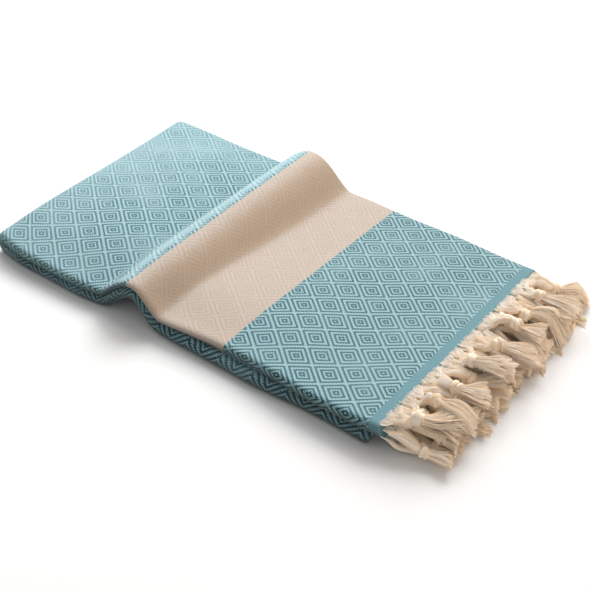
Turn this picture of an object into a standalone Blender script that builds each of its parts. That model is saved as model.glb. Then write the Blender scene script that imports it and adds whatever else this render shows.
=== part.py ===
# Folded hammam towel: one woven cloth, folded four times into sixteen plies and pinched up into
# a hump across its width, with a knotted fringe along each of its two short ends.
# Metres, +Z up. The stack lies along X with both fringed ends at +X, and its rolled edge faces -Y.
# The origin is on the ground under the middle of the whole towel.

import math
import random

import bmesh
import bpy
import numpy as np

# The cloth, laid flat.
cloth_width = 0.968
cloth_length = 1.700
cloth_thick = 0.0011
ply_gap = 0.0004
ply_pitch = cloth_thick + ply_gap

# The folded stack: sixteen plies, the later folds round more of them.
stack_height = 16 * ply_pitch - ply_gap
folded_width = 0.240
lower_end_recess = 0.009
inner_ply_slip = 0.005
slip_ramp = 0.100

# The hump, a row for each place across the width: crest height and place, and how far its
# slopes reach to the left and to the right.
hump_rows = (
    # across, lift, crest_x, left_reach, right_reach
    (0.000, 0.0210, 0.164, 0.033, 0.0320),
    (0.060, 0.0195, 0.167, 0.034, 0.0335),
    (0.150, 0.0235, 0.171, 0.034, 0.0400),
    (0.240, 0.0275, 0.174, 0.034, 0.0450),
)
hump_left_power = 1.15
hump_right_power = 2.00
hump_lean = 0.30
hump_drift_left = 0.060
hump_drift_right = 0.150

# The left end is pulled askew towards the back, and by how much at the back edge.
left_skew = 0.005
left_skew_reach = 0.120

# The rolled front edge, a row for each place along the stack: where the upper and the lower
# roll reach to, and how much of their height is pressed out of them there.
front_rows = (
    # along, upper_front, lower_front, upper_press, lower_press
    (0.000, -0.005, -0.006, 0.10, 0.10),
    (0.028, -0.010, -0.010, 0.20, 0.20),
    (0.070, -0.010, -0.010, 0.22, 0.22),
    (0.115, -0.008, -0.009, 0.30, 0.22),
    (0.140, -0.005, -0.006, 0.42, 0.12),
    (0.165, -0.002, -0.003, 0.45, 0.08),
    (0.205, -0.002, -0.005, 0.48, 0.06),
    (0.235, 0.001, -0.005, 0.42, 0.05),
    (0.265, 0.003, -0.005, 0.30, 0.04),
    (0.300, 0.002, -0.005, 0.18, 0.03),
    (0.340, -0.001, -0.002, 0.10, 0.00),
    (0.420, 0.000, -0.002, 0.06, 0.00),
)
front_press_reach = 0.036
front_bow_fade = 1.5
roll_blend = 0.003

# Shallow waves that keep the plies from lying dead flat: turns per metre along and across.
wave_height = 0.035
wave_along = 31
wave_across = 17
ripple_height = 0.6
ripple_along = 64
ripple_across = 23

# The fringe: a narrow heading parted from each end of the cloth carries a row of tassels.
heading_gap = 0.0003
heading_depth = 0.004
tassel_pitch = 0.0277
root_half_width = 0.0036
root_clear = root_half_width + 0.0006
lane_offsets = (0.0, 0.25, 0.0, 0.25)
second_end_offset = 0.5
tassel_sections = (
    # along, half_width, half_height; the knot is between the fourth and the fifth
    (0.0045, 0.0040, 0.0006),
    (0.0085, 0.0033, 0.0017),
    (0.0140, 0.0031, 0.0025),
    (0.0165, 0.0054, 0.0044),
    (0.0222, 0.0054, 0.0044),
    (0.0248, 0.0034, 0.0026),
    (0.0315, 0.0060, 0.0026),
    (0.0390, 0.0074, 0.0020),
    (0.0465, 0.0082, 0.0009),
)
fringe_layers = (
    # bulk, knot_shift, swing; from the lowest pair of plies to the highest
    (0.32, 0.009, 0.08),
    (0.36, 0.001, 0.10),
    (0.52, 0.009, 0.28),
    (0.95, 0.000, 0.45),
)
tassel_lean = 0.34
front_tassel_lean = 0.40
front_lean_reach = 0.060
cord_swing = 1.0
knot_jitter = 0.005
stretch_range = (0.92, 1.10)
tassel_clearance = 0.0003
steepest_drop = 1.3
fringe_seed = 13

# The grid on which the height of the pile of tassels is kept, from its low corner.
pile_corner = (0.395, -0.040)
pile_size = (0.110, 0.340)
pile_cell = 0.001

# Samples of the cloth: distances from the front and the left crease, in metres.
width_steps = (0.016, 0.030, 0.070, 0.140)
length_steps = (0.067, 0.115, 0.141, 0.156, 0.168, 0.180, 0.191, 0.202, 0.215, 0.228, 0.241,
                0.267, 0.327)
turn_steps = 3
edge_gap = 0.003
least_step = 0.0006

cloth_colour = (0.23, 0.47, 0.50, 1.0)
fringe_colour = (0.80, 0.68, 0.54, 1.0)


def fold_axis(plies):
    return plies * ply_pitch - ply_gap / 2


def half_turn(plies):
    return math.pi / 2 * fold_axis(plies)


def turn(reach, height, plies):
    # Folds a stack over at a crease. reach is the distance to the crease along the stack,
    # negative past it; what lies past it goes round and comes to rest on the stack.
    # Returns the distance from the outside of the fold, and the height.
    axis = fold_axis(plies)
    arc = half_turn(plies)
    radius = axis - height
    angle = math.pi / 2 * np.clip(reach / arc, -1, 1)
    past = np.maximum(np.abs(reach) - arc, 0)
    return axis + past - radius * np.cos(angle), axis - radius * np.sin(angle)


def smooth_rows(rows, column, place):
    # A column of a table at any place, eased between its rows.
    places = np.array([row[0] for row in rows])
    values = np.array([row[column] for row in rows])
    spot = np.clip(place, places[0], places[-1])
    index = np.clip(np.searchsorted(places, spot) - 1, 0, len(rows) - 2)
    share = (spot - places[index]) / (places[index + 1] - places[index])
    slopes = np.gradient(values, places)
    step = places[index + 1] - places[index]
    start = values[index] * (1 + 2 * share) * (1 - share) ** 2
    end = values[index + 1] * share ** 2 * (3 - 2 * share)
    lean_start = slopes[index] * step * share * (1 - share) ** 2
    lean_end = slopes[index + 1] * step * share ** 2 * (share - 1)
    return start + end + lean_start + lean_end


def hump(along, across):
    # The lift of the hump at a point of the ground plan.
    offset = along - smooth_rows(hump_rows, 2, across)
    left = np.clip(-offset / smooth_rows(hump_rows, 3, across), 0, 1)
    right = np.clip(offset / smooth_rows(hump_rows, 4, across), 0, 1)
    shape = np.cos(math.pi / 2 * left) ** hump_left_power
    shape = shape * np.cos(math.pi / 2 * right) ** hump_right_power
    return smooth_rows(hump_rows, 1, across) * shape


def hump_slope(along, across):
    step = 0.001
    return (hump(along + step, across) - hump(along - step, across)) / (2 * step)


def ground_plan(stack_along):
    # Distance along the ground for a distance along the stack, which climbs over the hump.
    along = np.linspace(-0.05, 0.60, 1301)
    slope = hump_slope(along, folded_width / 2)
    paces = np.sqrt(1 + slope ** 2) * (along[1] - along[0])
    walked = np.concatenate(([0], np.cumsum(paces[1:]))) + along[0]
    return np.interp(stack_along, walked, along)


# Where the third and the fourth crease lie, measured from the fold before each.
third_crease = folded_width - fold_axis(4) + half_turn(4)
back_fold_offset = half_turn(2) - fold_axis(2)
front_crease_reach = third_crease + back_fold_offset
end_fold_offset = half_turn(1) - fold_axis(1)
left_fold_offset = half_turn(8) - fold_axis(8)
half_length = cloth_length / 2
fourth_crease = (half_length - end_fold_offset - lower_end_recess) / 2
left_crease_reach = fourth_crease + end_fold_offset


def fold_up(across, along, height):
    # The four folds: end to end, side to side, side to side again, end to end again.
    from_end_fold, height = turn(half_length - along, height, 1)
    from_back_fold, height = turn(cloth_width / 2 - across, height, 2)
    from_front, height = turn(third_crease - from_back_fold, height, 4)
    from_left, height = turn(fourth_crease - from_end_fold, height, 8)
    return from_left, from_front, height


def settle(along, across, height):
    # How the folded stack lies: plies slip past each other, the front is pressed down and
    # bows, and the hump lifts it.
    inner = 1 - np.abs(2 * height / stack_height - 1)
    ramp = np.clip((along - fourth_crease + slip_ramp + left_fold_offset) / slip_ramp, 0, 1)
    along = ground_plan(along + inner_ply_slip * inner * ramp ** 2)

    wave = np.sin(wave_along * along + 1) * np.sin(wave_across * across + 2)
    wave = wave + ripple_height * np.sin(ripple_along * along + ripple_across * across)
    height = height * (1 + wave_height * wave)

    near_front = np.exp(-(np.maximum(across, 0) / front_press_reach) ** 2)
    middle = stack_height / 2
    lower = np.minimum(height, middle)
    upper = np.maximum(height, middle) - middle
    lower = lower * (1 - near_front * smooth_rows(front_rows, 4, along))
    upper = upper * (1 - near_front * smooth_rows(front_rows, 3, along))
    rise = lower + upper

    mix = np.clip((height - middle) / (2 * roll_blend) + 0.5, 0, 1)
    mix = mix ** 2 * (3 - 2 * mix)
    front = smooth_rows(front_rows, 2, along) * (1 - mix) + smooth_rows(front_rows, 1, along) * mix
    fade = np.clip(1 - across / folded_width, 0, 1.1) ** front_bow_fade
    across_moved = across + front * fade

    skewed = np.clip(1 - along / left_skew_reach, 0, 1.1) ** 2
    along = along - left_skew * skewed * np.clip(across / folded_width, 0, 1.1)

    crest = smooth_rows(hump_rows, 2, across)
    crest_middle = hump_rows[1][2]
    reach = np.where(along < crest_middle, hump_drift_left, hump_drift_right)
    drift = (crest - crest_middle) * np.exp(-((along - crest_middle) / reach) ** 2)
    along = along + drift
    slope = hump_slope(along, across)
    lean = hump_lean * (rise - middle) * slope
    return along - lean, across_moved, rise + hump(along, across)


def lay(points):
    # Places an array of flat points (across, along, height) on the ground as folded.
    folded = fold_up(points[:, 0], points[:, 1], points[:, 2])
    return np.stack(settle(*folded), axis=1)


def mirrored(distances, crease, low, high):
    # Sample lines at the same distances on both sides of a crease.
    lines = [crease - d for d in distances] + [crease + d for d in distances]
    return [line for line in lines if low <= line <= high]


def crease_distances(steps, own_arc, far, far_arc):
    # Distances from a crease: round its own turn, along the steps, and round the next turn.
    near = [own_arc * step / turn_steps for step in range(turn_steps + 1)]
    return near + list(steps) + [far - far_arc, far]


def tidy_lines(lines):
    # Sorted sample lines without repeats.
    lines = sorted(lines)
    kept = [lines[0]]
    for line in lines[1:]:
        if line - kept[-1] > least_step:
            kept.append(line)
    return kept


def width_lines():
    # Across the cloth: both front creases mirror the same distances; the selvedges end it.
    back = cloth_width / 2
    distances = crease_distances(width_steps, half_turn(4), front_crease_reach, half_turn(2))
    lines = mirrored(distances, back - front_crease_reach, edge_gap, back)
    lines = lines + mirrored(distances, back + front_crease_reach, back, cloth_width - edge_gap)
    return tidy_lines(lines + [0, cloth_width])


def length_lines():
    # Along the cloth: both left creases mirror the same distances; the hems end it.
    end = half_length
    distances = crease_distances(length_steps, half_turn(8), left_crease_reach, half_turn(1))
    lines = mirrored(distances, end - left_crease_reach, edge_gap, end)
    lines = lines + mirrored(distances, end + left_crease_reach, end, cloth_length - edge_gap)
    return tidy_lines(lines + [0, cloth_length])


def flat_slab(across_lines, along_lines):
    # A flat slab of cloth on the given sample lines, and its bmesh.
    slab = bmesh.new()
    columns = len(across_lines) - 1
    rows = len(along_lines) - 1
    bmesh.ops.create_grid(slab, x_segments=columns, y_segments=rows, size=1)
    for vert in slab.verts:
        column = round((vert.co.x + 1) / 2 * columns)
        row = round((vert.co.y + 1) / 2 * rows)
        vert.co = (across_lines[column], along_lines[row], 0)
    split_quads(slab)
    top = bmesh.ops.extrude_face_region(slab, geom=slab.faces[:])
    for item in top["geom"]:
        if isinstance(item, bmesh.types.BMVert):
            item.co.z = cloth_thick
    bmesh.ops.recalc_face_normals(slab, faces=slab.faces[:])
    return slab


def split_quads(slab):
    # Cuts each quad so that the cuts of plies that lie on each other agree.
    plain = []
    turned = []
    for face in slab.faces:
        centre = face.calc_center_median()
        across_quarter = abs(centre.x - cloth_width / 2) > front_crease_reach
        along_quarter = abs(centre.y - half_length) > left_crease_reach
        flips = (centre.x > cloth_width / 2) + across_quarter
        flips = flips + (centre.y > half_length) + along_quarter
        (turned if flips % 2 else plain).append(face)
    bmesh.ops.triangulate(slab, faces=plain, quad_method="FIXED")
    bmesh.ops.triangulate(slab, faces=turned, quad_method="ALTERNATE")


def lay_mesh(mesh):
    # Laying swaps across and along, which turns the faces round, so they are turned back.
    points = np.array([vert.co[:] for vert in mesh.verts])
    for vert, place in zip(mesh.verts, lay(points)):
        vert.co = place
    bmesh.ops.reverse_faces(mesh, faces=mesh.faces[:])


def tassel_lines(end_offset):
    # Places of the tassels across an end, evenly along the flat part of each folded quarter.
    middle = cloth_width / 2
    first = half_turn(4) + root_clear
    beside_back_fold = front_crease_reach - half_turn(2) - root_clear
    beside_selvedge = middle - front_crease_reach - root_clear
    quarters = (
        # crease, direction from it, last place
        (middle - front_crease_reach, -1, beside_selvedge),
        (middle - front_crease_reach, 1, beside_back_fold),
        (middle + front_crease_reach, -1, beside_back_fold),
        (middle + front_crease_reach, 1, beside_selvedge),
    )
    lines = []
    for (crease, direction, last), lane_offset in zip(quarters, lane_offsets):
        distance = first + (lane_offset + end_offset) % 1 * tassel_pitch
        while distance <= last:
            lines.append(crease + direction * distance)
            distance += tassel_pitch
    return sorted(lines)


class Pile:
    # The height that the tassels laid so far reach, on a grid over the ground.
    def __init__(self):
        self.low = np.array(pile_corner)
        self.top = np.zeros([round(side / pile_cell) for side in pile_size])

    def cells(self, points):
        index = np.floor((points - self.low) / pile_cell).astype(int)
        index[:, 0] = np.clip(index[:, 0], 0, self.top.shape[0] - 1)
        index[:, 1] = np.clip(index[:, 1], 0, self.top.shape[1] - 1)
        return index[:, 0], index[:, 1]

    def under(self, points):
        return self.top[self.cells(points)].max()

    def cover(self, points, height):
        rows, columns = self.cells(points)
        self.top[rows, columns] = np.maximum(self.top[rows, columns], height)


def footprint(centre, side, half_width):
    # Points across a tassel at one place, with a margin.
    reach = half_width + tassel_clearance
    shares = np.linspace(-1, 1, 2 * int(reach / pile_cell) + 3)
    return centre + np.outer(shares * reach, side)


def tassel_path(root, layer, dice):
    # The plan of one tassel: centres, sideways directions and half sizes of its sections.
    bulk, knot_shift, swing = fringe_layers[layer]
    stretch = dice.uniform(*stretch_range)
    knot_shift = knot_shift + dice.uniform(-knot_jitter, knot_jitter)
    cord_yaw = dice.uniform(-cord_swing, cord_swing) * swing
    beside_front = max(0, 1 - root[1] / front_lean_reach)
    tail_yaw = tassel_lean + front_tassel_lean * beside_front + dice.uniform(-swing, swing)
    centres = [np.array(root[:2])]
    half_sizes = [np.array((root_half_width, cloth_thick / 2))]
    sides = [np.array((0.0, -1.0))]
    reach = tassel_sections[-1][0]
    walked = 0
    for index, (along, half_width, half_height) in enumerate(tassel_sections):
        share = along / reach
        yaw = cord_yaw * (1 - share) + tail_yaw * share ** 0.7
        shift = knot_shift if index == 2 else (-knot_shift / 2 if index >= 7 else 0)
        pace = (along - walked) * stretch + shift
        step = np.array((math.cos(yaw), math.sin(yaw))) * pace
        centres.append(centres[-1] + step)
        sides.append(np.array((math.sin(yaw), -math.cos(yaw))))
        squash = bulk if index > 0 else 1
        half_sizes.append(np.array((half_width * (0.6 + 0.4 * bulk), half_height * squash)))
        walked = along
    return centres, sides, half_sizes


def stretches(centres, sides, half_sizes):
    # Close places along a tassel: the section before, the share of the way to the next one,
    # and the centre, sideways direction and half sizes there.
    for index in range(len(centres) - 1):
        run = np.linalg.norm(centres[index + 1] - centres[index])
        for share in np.linspace(0, 1, 2 + math.ceil(run / (pile_cell / 2))):
            centre = centres[index] * (1 - share) + centres[index + 1] * share
            side = sides[index] * (1 - share) + sides[index + 1] * share
            half = half_sizes[index] * (1 - share) + half_sizes[index + 1] * share
            yield index, share, centre, side, half


def rest_heights(root_height, centres, sides, half_sizes, pile):
    # Heights of the sections, so that the tassel lies on the pile or the ground all the way.
    heights = [root_height]
    for index in range(1, len(centres)):
        run = np.linalg.norm(centres[index] - centres[index - 1])
        heights.append(max(half_sizes[index][1], heights[-1] - steepest_drop * run))
    for index, share, centre, side, half in stretches(centres, sides, half_sizes):
        if index == 0:
            continue
        top = pile.under(footprint(centre, side, half[0]))
        need = top + half[1] + (tassel_clearance if top > 0 else 0)
        ends = sorted(((heights[index], index, 1 - share), (heights[index + 1], index + 1, share)))
        for height, place, weight in ends:
            missing = need - heights[index] * (1 - share) - heights[index + 1] * share
            if missing > 0 and weight > 0 and need > height:
                heights[place] = min(height + missing / weight, need)
    return heights


def add_to_pile(heights, centres, sides, half_sizes, pile):
    for index, share, centre, side, half in stretches(centres, sides, half_sizes):
        height = heights[index] * (1 - share) + heights[index + 1] * share
        pile.cover(footprint(centre, side, half[0]), height + half[1])


def grow_tassel(mesh, root_face, heights, centres, sides, half_sizes):
    # Extrudes a tassel out of its root face, section by section.
    middle = np.array(root_face.calc_center_median())
    roles = {}
    for vert in root_face.verts:
        away = np.array(vert.co) - middle
        roles[vert] = (math.copysign(1, away[:2] @ sides[0]), math.copysign(1, away[2]))
    face = root_face
    for height, centre, side, half in list(zip(heights, centres, sides, half_sizes))[1:]:
        grown = bmesh.ops.extrude_discrete_faces(mesh, faces=[face])["faces"][0]
        moved = {}
        for vert in grown.verts:
            source = min(roles, key=lambda old: (old.co - vert.co).length)
            moved[vert] = roles[source]
        for vert, (sideways, upward) in moved.items():
            place = centre + side * half[0] * sideways
            vert.co = (place[0], place[1], height + half[1] * upward)
        roles = moved
        face = grown


def fringe_mesh(heading_lines, tassels, along_near, along_far):
    # A heading strip in flat sample lines, with root faces for its tassels, then laid.
    roots = []
    for line in tassels:
        roots = roots + [line - root_half_width, line + root_half_width]
    kept = [line for line in heading_lines
            if all(abs(line - tassel) > root_clear for tassel in tassels)]
    lines = tidy_lines(kept + roots)
    return flat_slab(lines, sorted((along_near, along_far)))


def root_faces(mesh, tassels, along_far):
    # The upright end faces of the flat heading at the tassels' places.
    faces = {}
    for face in mesh.faces:
        centre = face.calc_center_median()
        if abs(centre.y - along_far) > 0.0001:
            continue
        for line in tassels:
            if abs(centre.x - line) < 0.0002:
                faces[line] = face
    return faces


def add_object(name, mesh, colour, roughness):
    data = bpy.data.meshes.new(name)
    mesh.to_mesh(data)
    mesh.free()
    data.shade_smooth()
    data.set_sharp_from_angle(angle=math.radians(40))
    material = bpy.data.materials.new(name)
    material.use_nodes = True
    surface = material.node_tree.nodes["Principled BSDF"]
    surface.inputs["Base Color"].default_value = colour
    surface.inputs["Roughness"].default_value = roughness
    surface.inputs["Metallic"].default_value = 0
    data.materials.append(material)
    item = bpy.data.objects.new(name, data)
    bpy.context.collection.objects.link(item)
    return item


def build_cloth():
    cloth = flat_slab(width_lines(), length_lines())
    lay_mesh(cloth)
    return add_object("cloth", cloth, cloth_colour, 0.9)


def build_fringes():
    # Both fringes lie in one pile, so their tassels are laid together, lowest root first.
    heading_far = heading_gap + heading_depth
    ends = (
        ("fringe_first_end", -heading_gap, -heading_far, 0),
        ("fringe_second_end", cloth_length + heading_gap, cloth_length + heading_far,
         second_end_offset),
    )
    meshes = {}
    tassels = []
    for name, near, far, end_offset in ends:
        lines = tassel_lines(end_offset)
        mesh = fringe_mesh(width_lines(), lines, near, far)
        faces = root_faces(mesh, lines, far)
        lay_mesh(mesh)
        meshes[name] = mesh
        for line in lines:
            ply_height = fold_up(np.array(line), np.array(far), cloth_thick / 2)[2]
            root = lay(np.array([[line, far, cloth_thick / 2]]))[0]
            tassels.append((round(float(ply_height), 5), root[1], name, faces[line], root))
    tassels.sort(key=lambda entry: entry[:2])
    plies = sorted({entry[0] for entry in tassels})
    dice = random.Random(fringe_seed)
    pile = Pile()
    for ply_height, across, name, face, root in tassels:
        layer = plies.index(ply_height) // 2
        centres, sides, half_sizes = tassel_path(root, layer, dice)
        heights = rest_heights(root[2], centres, sides, half_sizes, pile)
        add_to_pile(heights, centres, sides, half_sizes, pile)
        grow_tassel(meshes[name], face, heights, centres, sides, half_sizes)
    return [add_object(name, mesh, fringe_colour, 0.95) for name, mesh in meshes.items()]


def centre_on_origin(items):
    # Moves the meshes so that the origin is under the middle of them all.
    points = np.array([vert.co[:] for item in items for vert in item.data.vertices])
    middle = (points.min(axis=0) + points.max(axis=0)) / 2
    for item in items:
        for vert in item.data.vertices:
            vert.co.x -= middle[0]
            vert.co.y -= middle[1]


for old in list(bpy.data.objects):
    bpy.data.objects.remove(old)
parts = [build_cloth()] + build_fringes()
centre_on_origin(parts)
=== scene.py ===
import math
import random

import bmesh
import bpy
import numpy as np
from mathutils import Euler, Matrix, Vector


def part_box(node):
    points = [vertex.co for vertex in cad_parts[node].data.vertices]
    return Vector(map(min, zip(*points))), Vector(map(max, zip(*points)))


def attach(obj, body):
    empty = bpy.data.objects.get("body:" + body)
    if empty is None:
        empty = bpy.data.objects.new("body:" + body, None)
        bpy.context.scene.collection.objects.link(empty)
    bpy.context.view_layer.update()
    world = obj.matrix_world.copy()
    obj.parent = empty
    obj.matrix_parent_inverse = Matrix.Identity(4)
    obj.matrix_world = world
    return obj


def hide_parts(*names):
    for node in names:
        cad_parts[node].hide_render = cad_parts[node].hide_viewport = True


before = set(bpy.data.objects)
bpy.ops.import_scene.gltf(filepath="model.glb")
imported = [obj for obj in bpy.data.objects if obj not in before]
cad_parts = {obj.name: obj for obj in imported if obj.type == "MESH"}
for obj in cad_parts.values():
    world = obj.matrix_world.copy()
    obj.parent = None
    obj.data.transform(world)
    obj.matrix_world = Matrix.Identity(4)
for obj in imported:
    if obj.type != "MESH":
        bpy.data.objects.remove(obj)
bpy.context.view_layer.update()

# A hammam towel folded four times, pinched up into a hump, its knotted fringes in one pile.
# Stack coordinates: x from the left fold, y from the front edge, z from the ground, in metres.

towel = {
    "width": 0.968,
    "length": 1.700,
    "thick": 0.0011,
    "plyGap": 0.0004,
    "foldedWidth": 0.240,
    "lowerEndRecess": 0.009,
    "innerPlySlip": 0.005,
    "slipRamp": 0.100,
    "waveHeight": 0.035,
    "waveAlong": 31,
    "waveAcross": 17,
    "wavePhases": (1, 2),
    "rippleHeight": 0.6,
    "rippleAlong": 64,
    "rippleAcross": 23,
    "pastEdge": 1.1,  # how far past an edge, in widths, the bow and the skew still grow
}

hump = {
    "rows": (  # across, lift, crest, reach to the left, reach to the right
        (0.000, 0.0210, 0.164, 0.033, 0.0320),
        (0.060, 0.0195, 0.167, 0.034, 0.0335),
        (0.150, 0.0235, 0.171, 0.034, 0.0400),
        (0.240, 0.0275, 0.174, 0.034, 0.0450),
    ),
    "leftPower": 1.15,
    "rightPower": 2.00,
    "lean": 0.30,
    "driftLeft": 0.060,
    "driftRight": 0.150,
    "slopeStep": 0.001,
    "planSpan": (-0.05, 0.60),
    "planSteps": 1301,
}

leftSkew = {
    "pull": 0.005,
    "reach": 0.120,
}

frontEdge = {
    "rows": (  # along, front of the upper and the lower roll, how far each is pressed flat
        (0.000, -0.005, -0.006, 0.10, 0.10),
        (0.028, -0.010, -0.010, 0.20, 0.20),
        (0.070, -0.010, -0.010, 0.22, 0.22),
        (0.115, -0.008, -0.009, 0.30, 0.22),
        (0.140, -0.005, -0.006, 0.42, 0.12),
        (0.165, -0.002, -0.003, 0.45, 0.08),
        (0.205, -0.002, -0.005, 0.48, 0.06),
        (0.235, 0.001, -0.005, 0.42, 0.05),
        (0.265, 0.003, -0.005, 0.30, 0.04),
        (0.300, 0.002, -0.005, 0.18, 0.03),
        (0.340, -0.001, -0.002, 0.10, 0.00),
        (0.420, 0.000, -0.002, 0.06, 0.00),
    ),
    "pressReach": 0.036,
    "bowFade": 1.5,
    "rollBlend": 0.003,
}

plyPitch = towel["thick"] + towel["plyGap"]
stackHeight = 16 * plyPitch - towel["plyGap"]
halfLength = towel["length"] / 2
middle = towel["width"] / 2


def foldAxis(plies):
    return plies * plyPitch - towel["plyGap"] / 2


def halfTurn(plies):
    return math.pi / 2 * foldAxis(plies)


thirdCrease = towel["foldedWidth"] - foldAxis(4) + halfTurn(4)
frontReach = thirdCrease + halfTurn(2) - foldAxis(2)  # from the back fold to a front crease
endFoldOffset = halfTurn(1) - foldAxis(1)
fourthCrease = (halfLength - endFoldOffset - towel["lowerEndRecess"]) / 2
leftReach = fourthCrease + endFoldOffset  # from the end fold to a left crease


def turnOver(reach, height, plies):  # one fold: what lies past the crease comes to rest on top
    axis = foldAxis(plies)
    arc = halfTurn(plies)
    angle = math.pi / 2 * np.clip(reach / arc, -1, 1)
    past = np.maximum(np.abs(reach) - arc, 0)
    radius = axis - height
    return axis + past - radius * np.cos(angle), axis - radius * np.sin(angle)


def foldUp(across, along, height):
    fromEndFold, height = turnOver(halfLength - along, height, 1)
    fromBackFold, height = turnOver(middle - across, height, 2)
    fromFront, height = turnOver(thirdCrease - fromBackFold, height, 4)
    fromLeft, height = turnOver(fourthCrease - fromEndFold, height, 8)
    return fromLeft, fromFront, height


def eased(rows, column, place):  # a column of a table at any place, eased between its rows
    places = np.array([row[0] for row in rows])
    values = np.array([row[column] for row in rows])
    spot = np.clip(place, places[0], places[-1])
    index = np.clip(np.searchsorted(places, spot) - 1, 0, len(rows) - 2)
    step = places[index + 1] - places[index]
    share = (spot - places[index]) / step
    slopes = np.gradient(values, places)
    start = values[index] * (1 + 2 * share) * (1 - share) ** 2
    end = values[index + 1] * share ** 2 * (3 - 2 * share)
    leanStart = slopes[index] * step * share * (1 - share) ** 2
    leanEnd = slopes[index + 1] * step * share ** 2 * (share - 1)
    return start + end + leanStart + leanEnd


def humpLift(along, across):
    offset = along - eased(hump["rows"], 2, across)
    left = np.clip(-offset / eased(hump["rows"], 3, across), 0, 1)
    right = np.clip(offset / eased(hump["rows"], 4, across), 0, 1)
    shape = np.cos(math.pi / 2 * left) ** hump["leftPower"]
    shape = shape * np.cos(math.pi / 2 * right) ** hump["rightPower"]
    return eased(hump["rows"], 1, across) * shape


def humpSlope(along, across):
    step = hump["slopeStep"]
    return (humpLift(along + step, across) - humpLift(along - step, across)) / (2 * step)


def groundPlan(stackAlong):  # the stack climbs over the hump, so it is longer than its plan
    along = np.linspace(*hump["planSpan"], hump["planSteps"])
    slope = humpSlope(along, towel["foldedWidth"] / 2)
    paces = np.sqrt(1 + slope ** 2) * (along[1] - along[0])
    walked = np.concatenate(([0], np.cumsum(paces[1:]))) + along[0]
    return np.interp(stackAlong, walked, along)


def settle(along, across, height):
    inner = 1 - np.abs(2 * height / stackHeight - 1)
    leftOffset = halfTurn(8) - foldAxis(8)
    ramp = (along - fourthCrease + towel["slipRamp"] + leftOffset) / towel["slipRamp"]
    ramp = np.clip(ramp, 0, 1)
    along = groundPlan(along + towel["innerPlySlip"] * inner * ramp ** 2)

    wave = np.sin(towel["waveAlong"] * along + towel["wavePhases"][0])
    wave = wave * np.sin(towel["waveAcross"] * across + towel["wavePhases"][1])
    ripple = np.sin(towel["rippleAlong"] * along + towel["rippleAcross"] * across)
    height = height * (1 + towel["waveHeight"] * (wave + towel["rippleHeight"] * ripple))

    nearFront = np.exp(-(np.maximum(across, 0) / frontEdge["pressReach"]) ** 2)
    half = stackHeight / 2
    lower = np.minimum(height, half) * (1 - nearFront * eased(frontEdge["rows"], 4, along))
    upper = np.maximum(height, half) - half
    upper = upper * (1 - nearFront * eased(frontEdge["rows"], 3, along))
    rise = lower + upper

    mix = np.clip((height - half) / (2 * frontEdge["rollBlend"]) + 0.5, 0, 1)
    mix = mix ** 2 * (3 - 2 * mix)
    front = eased(frontEdge["rows"], 2, along) * (1 - mix)
    front = front + eased(frontEdge["rows"], 1, along) * mix
    past = towel["pastEdge"]
    fade = np.clip(1 - across / towel["foldedWidth"], 0, past) ** frontEdge["bowFade"]
    acrossMoved = across + front * fade

    skewed = np.clip(1 - along / leftSkew["reach"], 0, past) ** 2
    along = along - leftSkew["pull"] * skewed * np.clip(across / towel["foldedWidth"], 0, past)

    crest = eased(hump["rows"], 2, across)
    crestMiddle = hump["rows"][1][2]
    reach = np.where(along < crestMiddle, hump["driftLeft"], hump["driftRight"])
    along = along + (crest - crestMiddle) * np.exp(-((along - crestMiddle) / reach) ** 2)
    lean = hump["lean"] * (rise - half) * humpSlope(along, across)
    return along - lean, acrossMoved, rise + humpLift(along, across)


def lay(points):  # flat points (across, along, height) to their places in the folded stack
    return np.stack(settle(*foldUp(points[:, 0], points[:, 1], points[:, 2])), axis=1)


# Where the stack's own corner lies in the part's frame.
shares = np.linspace(0, 1, 400)
cornerGrid = np.array([(across * towel["width"], along * towel["length"], height)
                       for across in shares for along in shares for height in (0, towel["thick"])])
shift = np.array(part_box("cloth")[0]) - lay(cornerGrid).min(axis=0)
shift[2] = 0
print("stack corner at", shift.round(5))


class Signal:  # a shader socket that takes part in Python sums
    def __init__(self, shader, socket):
        self.shader = shader
        self.socket = socket

    def calc(self, operation, *values):
        return self.shader.add("Math", {"operation": operation}, dict(enumerate(values)))

    def __add__(self, other):
        return self.calc("ADD", self, other)

    def __radd__(self, other):
        return self.calc("ADD", other, self)

    def __sub__(self, other):
        return self.calc("SUBTRACT", self, other)

    def __rsub__(self, other):
        return self.calc("SUBTRACT", other, self)

    def __mul__(self, other):
        return self.calc("MULTIPLY", self, other)

    def __rmul__(self, other):
        return self.calc("MULTIPLY", other, self)

    def __truediv__(self, other):
        return self.calc("DIVIDE", self, other)

    def __rtruediv__(self, other):
        return self.calc("DIVIDE", other, self)

    def __lt__(self, other):
        return self.calc("LESS_THAN", self, other)

    def __gt__(self, other):
        return self.calc("GREATER_THAN", self, other)

    def __abs__(self):
        return self.calc("ABSOLUTE", self)


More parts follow.
